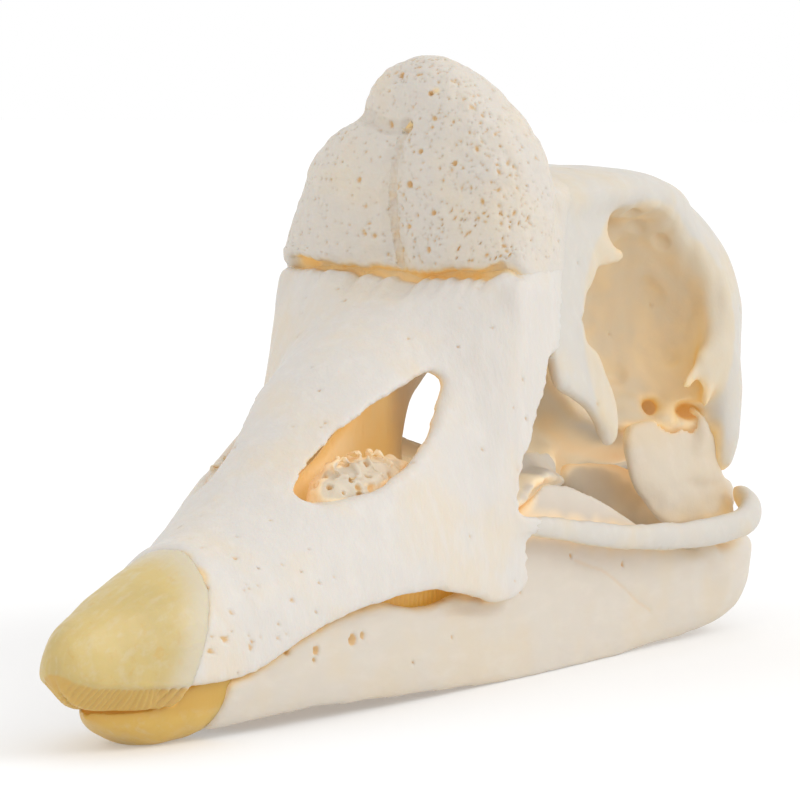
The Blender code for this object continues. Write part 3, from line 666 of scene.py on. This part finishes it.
roughen(back, 0.55, 4.6, seed=41.0, stretch=(1, 1, 1.8), where=socket)
roughen(back, 0.16, 1.6, seed=43.0, stretch=(1, 1, 2), where=socket)

places, normals = read(back)
spots = []
while len(spots) < BACK_PIT_COUNT:
    index = chance.randrange(len(places))
    if chance.random() < 0.3 or places[index][1] < 90:
        spots.append((places[index], chance.uniform(0.25, 0.4), chance.uniform(0.15, 0.3), ROUND, 1))
sink(back, spots, stain_and_shade=0.7)

# %% [markdown]
# ## The lower jaw
# Nerves leave the jaw through a row of holes near its tip. Further back there are two small holes, a
# hairline crack and a shallow scoop where the jaw muscle was attached. The rim dips a little, and painted
# shadow darkens it where the edge of the bill arches over it.

# %% Holes, crack and scoop of the jaw
JAW_HOLES = ((24.8, 8.0, 0.55), (28.8, 7.6, 0.6), (28.6, 6.6, 0.4), (34.6, 8.0, 0.75), (36.2, 8.3, 0.5))
JAW_HOLES += ((76.9, 12.4, 0.42), (87.6, 10.4, 0.4), (52.0, 6.2, 0.3), (45.0, 4.4, 0.3), (66.0, 9.6, 0.3))
UNDER_BILL_SHADOW = ((43.0, 11.2), (48.0, 11.0), (53.0, 10.1), (58.0, 8.9), (61.5, 8.5))
CRACK = ((77.8, 11.8), (80.6, 10.9), (83.2, 10.2), (85.2, 9.2), (88.0, 7.6), (90.8, 5.8), (93.4, 4.6))
SCOOP = (106.0, 6.6)
jaw_tree = surface(jaw)
spots = []
for side in (LEFT, RIGHT):
    for y, z, radius in JAW_HOLES:
        spots.append((on_side(jaw_tree, y, z, side), radius, radius * 1.1, ROUND, 1))
sink(jaw, spots)
crack_line = along([on_side(jaw_tree, y, z) for y, z in CRACK], 0.3)
sink(jaw, [(place, 0.5, 0.14, ROUND, 1) for place in crack_line], stain_and_shade=0.9)
# A shallow groove along the jaw under the edge of the bill, darkened as painted shadow.
under_bill_shadow_line = along([on_side(jaw_tree, y, z) for y, z in UNDER_BILL_SHADOW], 0.6)
sink(jaw, [(place, 1.2, 0.2, ROUND, 1) for place in under_bill_shadow_line], stain_and_shade=0.4)
places, _ = read(jaw)
dip = soft_step(places[:, 1], 39.0, 46.0) * (1 - soft_step(places[:, 1], 57.0, 63.0))
places[:, 2] -= 0.8 * dip * soft_step(places[:, 2], 7.0, 10.5)
write(jaw, places)
scoops = [(on_side(jaw_tree, *SCOOP, side), 4.2, 0.55, ROUND, 1) for side in (LEFT, RIGHT)]
sink(jaw, scoops, stain_and_shade=0.1)
print("jaw holes done")

# %% [markdown]
# ## The horn tips
# Horn grows in layers, so the lower band of the upper tip is finely ribbed from top to bottom, and coarser
# and slanting near its rear end. The smooth part above it is worn and only slightly wavy.

# %% Ribs on the horn
BAND_STATIONS = (-3.3, -2.4, -0.4, 2.6, 6.0, 12.0, 18.0)
BAND_HEIGHTS = (8.8, 8.0, 7.3, 6.9, 6.5, 6.1, 6.0)


def band_share(places):
    """1 in the ribbed band below the smooth part of the upper horn tip."""
    edge = np.interp(places[:, 1], BAND_STATIONS, BAND_HEIGHTS)
    return 1 - soft_step(places[:, 2], edge - 0.35, edge - 0.05)


def rear_margin(places):
    """1 at the thin rear margin of the upper horn tip."""
    return 1 - soft_step(REAR_MARGIN + MARGIN_LEAN * (places[:, 2] - 6.0) - places[:, 1], 0.6, 2.6)


soften(upper_horn, 16, rear_margin)
places, normals = read(upper_horn)
band = band_share(places)
slanting = soft_step(places[:, 1], 6.0, 8.0)
fine_ribs = np.cos(2 * math.pi * (places[:, 1] + 0.1 * places[:, 2]) / 0.62)
coarse_ribs = np.cos(2 * math.pi * (places[:, 1] - 0.9 * places[:, 2]) / 1.2)
ribs = 0.08 * fine_ribs * (1 - slanting) + 0.19 * coarse_ribs * slanting
outside = soft_step(np.abs(normals[:, 0]), 0.25, 0.6)
wear = 0.07 * lumps(places, 3.0, 15.0) + 0.03 * lumps(places, 1.1, 16.0)
amount = ribs * band * outside + wear + 0.05
write(upper_horn, places + normals * amount[:, None])
keep(upper_horn, "band", band)
ahead = REAR_MARGIN + MARGIN_LEAN * (places[:, 2] - 6.0) - places[:, 1]
keep(upper_horn, "fade", 1 - soft_step(ahead, 0.2, 7.5))

places, normals = read(lower_horn)
rim = soft_step(places[:, 2], 3.4, 4.6)
places[:, 2] += rim * (0.25 + 0.75 * soft_step(places[:, 1], 9.5, 12.5))
write(lower_horn, places + normals * (0.06 * lumps(places, 2.4, 18.0))[:, None])
keep(lower_horn, "band", soft_step(places[:, 2], 2.6, 4.0))
keep(lower_horn, "fade", soft_step(places[:, 1], 13.5, 17.0) * 0.5)

# %% [markdown]
# ## Horn inside the bill
# Through the slit between bill and jaw a strip of ribbed horn is seen, the inner edge of the bill. A thin
# block is bent along the palate and its faces are moved in and out to make the ribs.

# %% The inner horn edges
STRIP_THICKNESS, STRIP_LENGTH, STRIP_HEIGHT = 0.9, 30, 4.4
STRIP_CENTRE = 49.0
STRIP_RIB, STRIP_RIB_DEPTH = 0.9, 0.07
STRIP_STATIONS = (34.0, 40.0, 48.0, 56.0, 64.0)
STRIP_OUTER = (8.4, 9.4, 10.3, 10.6, 10.6)
STRIP_MIDDLE = (11.6, 12.2, 12.0, 11.6, 11.0)


def inner_edge(side):
    """One strip of ribbed horn, inside the jaw and under the palate."""
    size = Vector((STRIP_THICKNESS, STRIP_LENGTH, STRIP_HEIGHT)) * MM
    bpy.ops.mesh.primitive_cube_add(size=1, location=at(0, 0, 0), scale=size)
    strip = bpy.context.view_layer.objects.active
    strip.name = f"inner_horn_{SIDE_WORDS[side]}"
    bpy.ops.object.transform_apply(location=True, rotation=True, scale=True)
    even_net(strip, 0.2 * COARSE, relax=2)
    places, _ = read(strip)
    y = places[:, 1] + STRIP_CENTRE
    ribs = STRIP_RIB_DEPTH * np.cos(2 * math.pi * y / STRIP_RIB)
    places[:, 0] += side * (np.interp(y, STRIP_STATIONS, STRIP_OUTER) + ribs)
    places[:, 1] = y
    places[:, 2] += np.interp(y, STRIP_STATIONS, STRIP_MIDDLE)
    write(strip, places)
    keep(strip, "band", np.full(len(places), 0.4))
    keep(strip, "fade", np.zeros(len(places)))
    return strip


inner_edges = [inner_edge(LEFT), inner_edge(RIGHT)]

# %% [markdown]
# ## How open each place is
# Deep hollows of a cleaned skull stay yellow, because the bleach and the sun don't reach them, and the ochre
# laid on them here is partly that stain and partly painted shade. Rays shot from the skin tell how much of
# the sky each place sees. Places in one small cell that face the same way share a sample, and the samples are
# then blurred along the net. Where the walls are thin, in the nose and on the palate, a second number sets a
# painted glow, emission that stands in for the daylight they let through.

# %% Measure the hollows
RAY_LENGTH = 20.0
SAMPLE_CELL = 1.3
LIFT = 0.9
solid_points, solid_faces = [], []
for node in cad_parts:
    mesh = bpy.data.objects[node].data
    first = len(solid_points)
    solid_points += [Vector(place) for place in skull_measure([vertex.co for vertex in mesh.vertices])]
    solid_faces += [[first + index for index in face.vertices] for face in mesh.polygons]
solids = BVHTree.FromPolygons(solid_points, solid_faces)


def sky(count):
    """Evenly spread directions."""
    turns = np.arange(count) * math.pi * (3 - math.sqrt(5))
    heights = 1 - 2 * (np.arange(count) + 0.5) / count
    flat = np.sqrt(1 - heights**2)
    return np.stack([np.cos(turns) * flat, np.sin(turns) * flat, heights], axis=1)


DIRECTIONS = sky(48)


def closedness(place, normal):
    """0 where a place sees the open sky, up to 1 deep in a hollow."""
    origin = Vector(place + normal * LIFT)
    total = hit_share = 0.0
    for direction in DIRECTIONS:
        weight = direction @ normal
        if weight < 0.1:
            continue
        total += weight
        distance = solids.ray_cast(origin, Vector(direction), RAY_LENGTH)[3]
        if distance is not None:
            hit_share += weight * (1 - 0.6 * distance / RAY_LENGTH)
    return hit_share / total


def fat_and_shade_share(places, normals):
    """How much yellower than its openness alone a place is painted. The sockets get more, partly fat and
    partly painted shade, and the inside of the jaw gets more as painted shade.
    """
    x, y, z = np.abs(places[:, 0]), places[:, 1], places[:, 2]
    inner = (1 - soft_step(x, 14.5, 16.0)) * soft_step(y, 66.0, 72.0) * (1 - soft_step(z, 26.0, 32.0))
    inner *= soft_step(z, 12.0, 16.0)
    inner_face_shade = soft_step(-normals[:, 0] * np.sign(places[:, 0]), 0.1, 0.6) * (1 - soft_step(z, 16.0, 20.0))
    inner_face_shade *= 1 - soft_step(y, 86.0, 96.0)
    # Sockets: partly fat, partly painted shade. Inside of the jaw: painted shade.
    return 0.32 * socket(places) - 0.05 * inner + 0.3 * inner_face_shade * soft_step(y, 22.0, 30.0)


def painted_glow_walls(places, hollow):
    """1 in the nose and on the palate, where the bone is thin and gets a stronger painted glow for the
    daylight it lets through.
    """
    x, y, z = np.abs(places[:, 0]), places[:, 1], places[:, 2]
    nose = soft_step(y, 30.0, 34.0) * (1 - soft_step(y, 59.0, 63.0)) * soft_step(z, 19.0, 22.0)
    palate_back = (1 - soft_step(x, 14.5, 16.0)) * soft_step(y, 64.0, 68.0) * (1 - soft_step(z, 21.0, 27.0))
    return (nose + palate_back * soft_step(z, 12.0, 16.0)) * soft_step(hollow, 0.25, 0.50)


def measure_hollows(piece):
    """Stores how closed each place is, which sets its stain and painted shade, and how strong a painted glow
    its walls get.
    """
    places, normals = read(piece)
    keys = np.concatenate([np.floor(places / SAMPLE_CELL), np.round(normals)], axis=1).astype(int)
    _, samples, group = np.unique(keys, axis=0, return_index=True, return_inverse=True)
    values = np.array([closedness(places[index], normals[index]) for index in samples])
    open_share = blur(piece, values[group.ravel()], 12)
    keep(piece, "hollow", open_share + fat_and_shade_share(places, normals))
    keep(piece, "thin", painted_glow_walls(places, open_share))
    print(piece.name, len(samples), "samples, mean", round(float(values.mean()), 2))


bones = [bill, knob, back, jaw, *small_bones.values(), *sponges]
for piece in [*bones, upper_horn, lower_horn, *inner_edges]:
    measure_hollows(piece)

# %% [markdown]
# ## Materials
# All colours are worked out from the place on the bone and from the attributes, without pictures. Open bone
# is a warm white with faint clouds, hollows turn cream and then ochre, partly as a real stain and partly as
# painted shade, and so do the pits.

# %% Building blocks for materials
def new_material(name):
    """A new material, its node tree and its shader."""
    material = bpy.data.materials.new(name)
    material.use_nodes = True
    return material, material.node_tree, material.node_tree.nodes["Principled BSDF"]


def node(tree, kind, values=None, links=None, **settings):
    """A node with its settings, fixed inputs and links."""
    made = tree.nodes.new(kind)
    for name, value in settings.items():
        setattr(made, name, value)
    for name, value in (values or {}).items():
        made.inputs[name].default_value = value
    for name, socket in (links or {}).items():
        tree.links.new(socket, made.inputs[name])
    return made


def millimetres(tree, stretch=(1, 1, 1)):
    """The place on the object in millimetres, for textures. A stretch of 3 makes spots 3 times longer."""
    place = node(tree, "ShaderNodeTexCoord").outputs["Object"]
    scale = tuple(1 / (MM * s) for s in stretch)
    return node(tree, "ShaderNodeMapping", {"Scale": scale}, {"Vector": place}).outputs["Vector"]


def cloud(tree, size, detail=3.0, stretch=(1, 1, 1), distortion=0.0):
    """Noise between 0 and 1 whose spots measure this many millimetres."""
    values = {"Scale": 1 / size, "Detail": detail, "Roughness": 0.55, "Distortion": distortion}
    return node(tree, "ShaderNodeTexNoise", values, {"Vector": millimetres(tree, stretch)}).outputs["Fac"]


def stored(tree, name):
    """The number that keep stored under a name."""
    return node(tree, "ShaderNodeAttribute", attribute_name=name).outputs["Fac"]


def rise(tree, value, start, end, low=0.0, high=1.0):
    """Maps a value from start..end to low..high with soft ends."""
    values = {"From Min": start, "From Max": end, "To Min": low, "To Max": high}
    made = node(tree, "ShaderNodeMapRange", values, {"Value": value}, interpolation_type="SMOOTHSTEP")
    return made.outputs[0]


def mix(tree, share, first, second):
    """A blend of two colours. Either may be a plain colour or a socket."""
    made = node(tree, "ShaderNodeMix", data_type="RGBA")
    for index, colour in ((6, first), (7, second)):
        if isinstance(colour, tuple):
            made.inputs[index].default_value = (*colour, 1)
        else:
            tree.links.new(colour, made.inputs[index])
    if isinstance(share, float):
        made.inputs[0].default_value = share
    else:
        tree.links.new(share, made.inputs[0])
    return made.outputs[2]


def times(tree, first, second):
    """The product of a socket and a number or another socket."""
    made = node(tree, "ShaderNodeMath", links={0: first}, operation="MULTIPLY")
    if isinstance(second, float):
        made.inputs[1].default_value = second
    else:
        tree.links.new(second, made.inputs[1])
    return made.outputs[0]


def bump(tree, height, depth, strength=1.0, under=None):
    """Fine relief of this depth in millimetres, over an earlier relief if there is one."""
    links = {"Height": height}
    if under:
        links["Normal"] = under
    return node(tree, "ShaderNodeBump", {"Strength": strength, "Distance": depth * MM}, links).outputs[0]


# %% [markdown]
# ## Bone
# One recipe serves all bones. The knob is a little chalkier, the jaw a little warmer, and the small bones
# behind the palate keep more of their fat and are creamier. The walls of the hollows are thin enough for
# daylight to shine through, so they get a faint painted glow, an emission that stands in for that light.

# %% The bone materials
# Ochre colours for the hollows and pits: partly a real stain, partly painted shade, the deepest ones most of
# all.
OCHRE = (0.74, 0.555, 0.33)
DEEP_SHADE_OCHRE = (0.72, 0.46, 0.18)
PIT_OCHRE = (0.70, 0.45, 0.19)
HOLE_SHADE_OCHRE = (0.66, 0.34, 0.045)
# Colours of a painted glow, emission that stands in for daylight through thin walls.
SOFT_GLOW, DEEP_GLOW = (0.13, 0.115, 0.06), (0.17, 0.10, 0.02)


def painted_glow_through(tree, shader, hollow, glow):
    """A painted glow: emission that stands in for daylight coming through the walls of the hollows, and more
    of it where they are thin.
    """
    colour = mix(tree, rise(tree, hollow, 0.70, 1.00), SOFT_GLOW, DEEP_GLOW)
    strength = times(tree, rise(tree, hollow, 0.45, 0.80), rise(tree, hollow, 0.95, 1.15, 1.0, 0.2))
    faint = mix(tree, strength, (0.0, 0.0, 0.0), colour)
    tree.links.new(mix(tree, stored(tree, "thin"), faint, glow), shader.inputs["Emission Color"])
    shader.inputs["Emission Strength"].default_value = 1.0


def bone_material(name, white, cream, grain=(1, 1, 1), relief=0.06, stain_and_shade=1.0, glow=(0.20, 0.15, 0.09)):
    """Cleaned bone: white in the open, cream to ochre in hollows as stain and painted shade, brown in pits,
    with a painted glow.
    """
    material, tree, shader = new_material(name)
    warm = tuple(w * 0.35 + c * 0.65 for w, c in zip(white, cream))
    base = mix(tree, rise(tree, cloud(tree, 9.0), 0.42, 0.68), white, warm)
    bright = tuple(min(1.0, channel * 1.06) for channel in white)
    base = mix(tree, rise(tree, cloud(tree, 1.6, 5.0, grain), 0.45, 0.75, 0.0, 0.6), base, bright)
    # Cream and ochre by how closed a place is: partly a real stain, partly painted shade.
    hollow_stain_and_shade = times(tree, rise(tree, cloud(tree, 5.0, 4.0), 0.3, 0.7, 0.88, 1.12), stored(tree, "hollow"))
    base = mix(tree, rise(tree, hollow_stain_and_shade, 0.16, 0.42), base, cream)
    base = mix(tree, rise(tree, hollow_stain_and_shade, 0.34, 0.60, 0.0, stain_and_shade), base, OCHRE)
    base = mix(tree, rise(tree, hollow_stain_and_shade, 0.58, 0.85, 0.0, stain_and_shade), base, DEEP_SHADE_OCHRE)
    base = mix(tree, rise(tree, hollow_stain_and_shade, 0.98, 1.12), base, HOLE_SHADE_OCHRE)
    painted_glow_through(tree, shader, hollow_stain_and_shade, glow)
    pit = rise(tree, stored(tree, "pit"), 0.12, 0.95, 0.0, 0.85)
    base = mix(tree, pit, base, PIT_OCHRE)
    tree.links.new(base, shader.inputs["Base Color"])
    gloss = rise(tree, cloud(tree, 3.0, 4.0), 0.3, 0.7, 0.46, 0.62)
    tree.links.new(gloss, shader.inputs["Roughness"])
    grainy = bump(tree, cloud(tree, 0.35, 4.0, grain), relief * 0.6, 0.5)
    lumpy = bump(tree, cloud(tree, 1.3, 3.0, grain), relief * 2.0, 0.6, grainy)
    tree.links.new(lumpy, shader.inputs["Normal"])
    shader.inputs["Subsurface Weight"].default_value = 0.18
    shader.inputs["Subsurface Radius"].default_value = (1.0, 0.55, 0.3)
    shader.inputs["Subsurface Scale"].default_value = 0.0016
    shader.inputs["Specular IOR Level"].default_value = 0.35
    return material


WHITE, CREAM = (0.655, 0.615, 0.565), (0.70, 0.605, 0.47)
BACK_CREAM, JAW_CREAM, JOINT_CREAM = (0.66, 0.56, 0.41), (0.66, 0.565, 0.43), (0.66, 0.55, 0.40)
# Painted glow of the thin walls in the nose and of the palate.
NOSE_GLOW, PALATE_GLOW = (0.235, 0.14, 0.03), (0.26, 0.22, 0.15)
bill_white = bone_material("bill bone", WHITE, CREAM, grain=(1, 1, 3), relief=0.12, glow=NOSE_GLOW)
knob_white = bone_material("knob bone", (0.63, 0.58, 0.515), CREAM, relief=0.13)
back_white = bone_material("skull bone", (0.595, 0.56, 0.505), BACK_CREAM, relief=0.04, glow=PALATE_GLOW)
jaw_white = bone_material("jaw bone", (0.63, 0.57, 0.49), JAW_CREAM, grain=(1, 3, 1), relief=0.04)
inner_cream = bone_material("joint bone", (0.64, 0.56, 0.45), JOINT_CREAM, relief=0.05, stain_and_shade=0.7)

# %% [markdown]
# ## Horn
# The horn tips are yellow and let some light in. They fade to cream at the rear margin, where they get
# thin, and the ribbed band and the lower tip are amber. Darker spots mottle the smooth part. Their hollows
# turn a darker amber as painted shade and get a faint painted glow.

# %% The horn materials
def horn_material(name, yellow, pale, amber, spotting):
    """Horn: yellow, pale where it thins out, amber in the ribbed band, with soft darker spots, and painted
    shade and a painted glow in hollows.
    """
    material, tree, shader = new_material(name)
    base = mix(tree, rise(tree, cloud(tree, 6.0, 4.0), 0.35, 0.7), yellow, tuple(c * 0.9 for c in yellow))
    spots = rise(tree, cloud(tree, 1.3, 4.0, distortion=0.6), 0.56, 0.72, 0.0, spotting)
    base = mix(tree, spots, base, amber)
    streaks = rise(tree, cloud(tree, 0.5, 3.0, (1, 7, 2)), 0.45, 0.75, 0.0, 0.3)
    base = mix(tree, streaks, base, pale)
    base = mix(tree, rise(tree, stored(tree, "fade"), 0.05, 1.0), base, pale)
    base = mix(tree, times(tree, stored(tree, "band"), 0.92), base, amber)
    # Darker amber in the hollows as painted shade, and a faint painted glow there.
    base = mix(tree, rise(tree, stored(tree, "hollow"), 0.45, 0.85), base, (0.66, 0.38, 0.08))
    shader.inputs["Emission Color"].default_value = (0.13, 0.08, 0.015, 1)
    tree.links.new(rise(tree, stored(tree, "hollow"), 0.40, 0.80), shader.inputs["Emission Strength"])
    tree.links.new(base, shader.inputs["Base Color"])
    gloss = rise(tree, cloud(tree, 2.0, 4.0), 0.3, 0.7, 0.34, 0.48)
    tree.links.new(gloss, shader.inputs["Roughness"])
    fine = bump(tree, cloud(tree, 0.28, 3.0, (1, 1, 6)), 0.03, 0.5)
    soft = bump(tree, cloud(tree, 1.8, 3.0), 0.08, 0.5, fine)
    tree.links.new(soft, shader.inputs["Normal"])
    shader.inputs["Subsurface Weight"].default_value = 0.35
    shader.inputs["Subsurface Radius"].default_value = (1.0, 0.6, 0.2)
    shader.inputs["Subsurface Scale"].default_value = 0.002
    shader.inputs["Specular IOR Level"].default_value = 0.45
    return material


PALE_HORN = (0.60, 0.53, 0.39)
upper_yellow = horn_material("upper horn", (0.59, 0.45, 0.175), PALE_HORN, (0.56, 0.355, 0.09), 0.5)
lower_amber = horn_material("lower horn", (0.63, 0.415, 0.10), PALE_HORN, (0.58, 0.35, 0.07), 0.4)

# %% [markdown]
# ## Put everything in its place
# Every skin rides on the one body, takes the place of its plain solid and gets its material. Normals are
# smoothed except at sharp edges.

# %% Finish and attach the pieces
LOWEST = skull_measure([solid_box[0]])[0] + 0.01
HIGHEST = skull_measure([solid_box[1]])[0] - 0.01


def finish(piece, material, stands_for=None):
    """Keeps a piece in the box of the solids, and gives it its material, smooth shading and place."""
    places, _ = read(piece)
    write(piece, np.clip(places, LOWEST, HIGHEST))
    piece.data.materials.clear()
    piece.data.materials.append(material)
    only(piece)
    bpy.ops.object.shade_smooth_by_angle(angle=math.radians(60))
    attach(piece, "root")
    if stands_for:
        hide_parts(stands_for)


finish(bill, bill_white, "cranium")
finish(knob, knob_white, "cranium")
finish(back, back_white, "cranium")
for net in sponges:
    finish(net, inner_cream)
finish(jaw, jaw_white, "lower_jaw")
for name, piece in small_bones.items():
    finish(piece, inner_cream, name)
finish(upper_horn, upper_yellow, "upper_nail")
finish(lower_horn, lower_amber, "lower_nail")
for strip in inner_edges:
    finish(strip, lower_amber)

# %% [markdown]
# ## Studio
# The skull stands on a faintly lit white table in an even white room. A wide soft lamp on the right gives
# the gentle shadow to the left. The camera stands low in front of the bird's left side, with a long lens.

# %% Floor, light and camera
bpy.ops.mesh.primitive_plane_add(size=8, location=(0, 0, 0))
floor = bpy.context.view_layer.objects.active
floor.name = "white_table"
paper, _, paper_shader = new_material("white table")
paper_shader.inputs["Base Color"].default_value = (0.72, 0.72, 0.72, 1)
paper_shader.inputs["Emission Color"].default_value = (1, 1, 1, 1)
paper_shader.inputs["Emission Strength"].default_value = 0.25
paper_shader.inputs["Roughness"].default_value = 0.9
paper_shader.inputs["Specular IOR Level"].default_value = 0.0
floor.data.materials.append(paper)

room = bpy.data.worlds.new("white room")
room.use_nodes = True
room.node_tree.nodes["Background"].inputs["Color"].default_value = (1, 1, 1, 1)
room.node_tree.nodes["Background"].inputs["Strength"].default_value = 1.0
bpy.context.scene.world = room

key_light = bpy.data.lights.new("key lamp", "SUN")
key_light.energy, key_light.angle = 0.75, math.radians(35)
key = bpy.data.objects.new("key lamp", key_light)
bpy.context.scene.collection.objects.link(key)
key.matrix_world = Vector((0.75, 0.30, 0.58)).to_track_quat("Z", "Y").to_matrix().to_4x4()

CAMERA_PLACE = at(220.3, -331.0, 66.0)
CAMERA_TURN, CAMERA_TILT, CAMERA_ROLL = 29.13, 85.446, -0.2
lens = bpy.data.cameras.new("camera")
lens.lens, lens.sensor_width = 188.1, 36
camera = bpy.data.objects.new("camera", lens)
bpy.context.scene.collection.objects.link(camera)
turn = Matrix.Rotation(math.radians(CAMERA_TURN), 4, "Z") @ Matrix.Rotation(math.radians(CAMERA_TILT), 4, "X")
roll = Matrix.Rotation(math.radians(CAMERA_ROLL), 4, "Z")
camera.matrix_world = Matrix.Translation(CAMERA_PLACE) @ turn @ roll
bpy.context.scene.camera = camera
bpy.context.scene.view_settings.view_transform = "Standard"
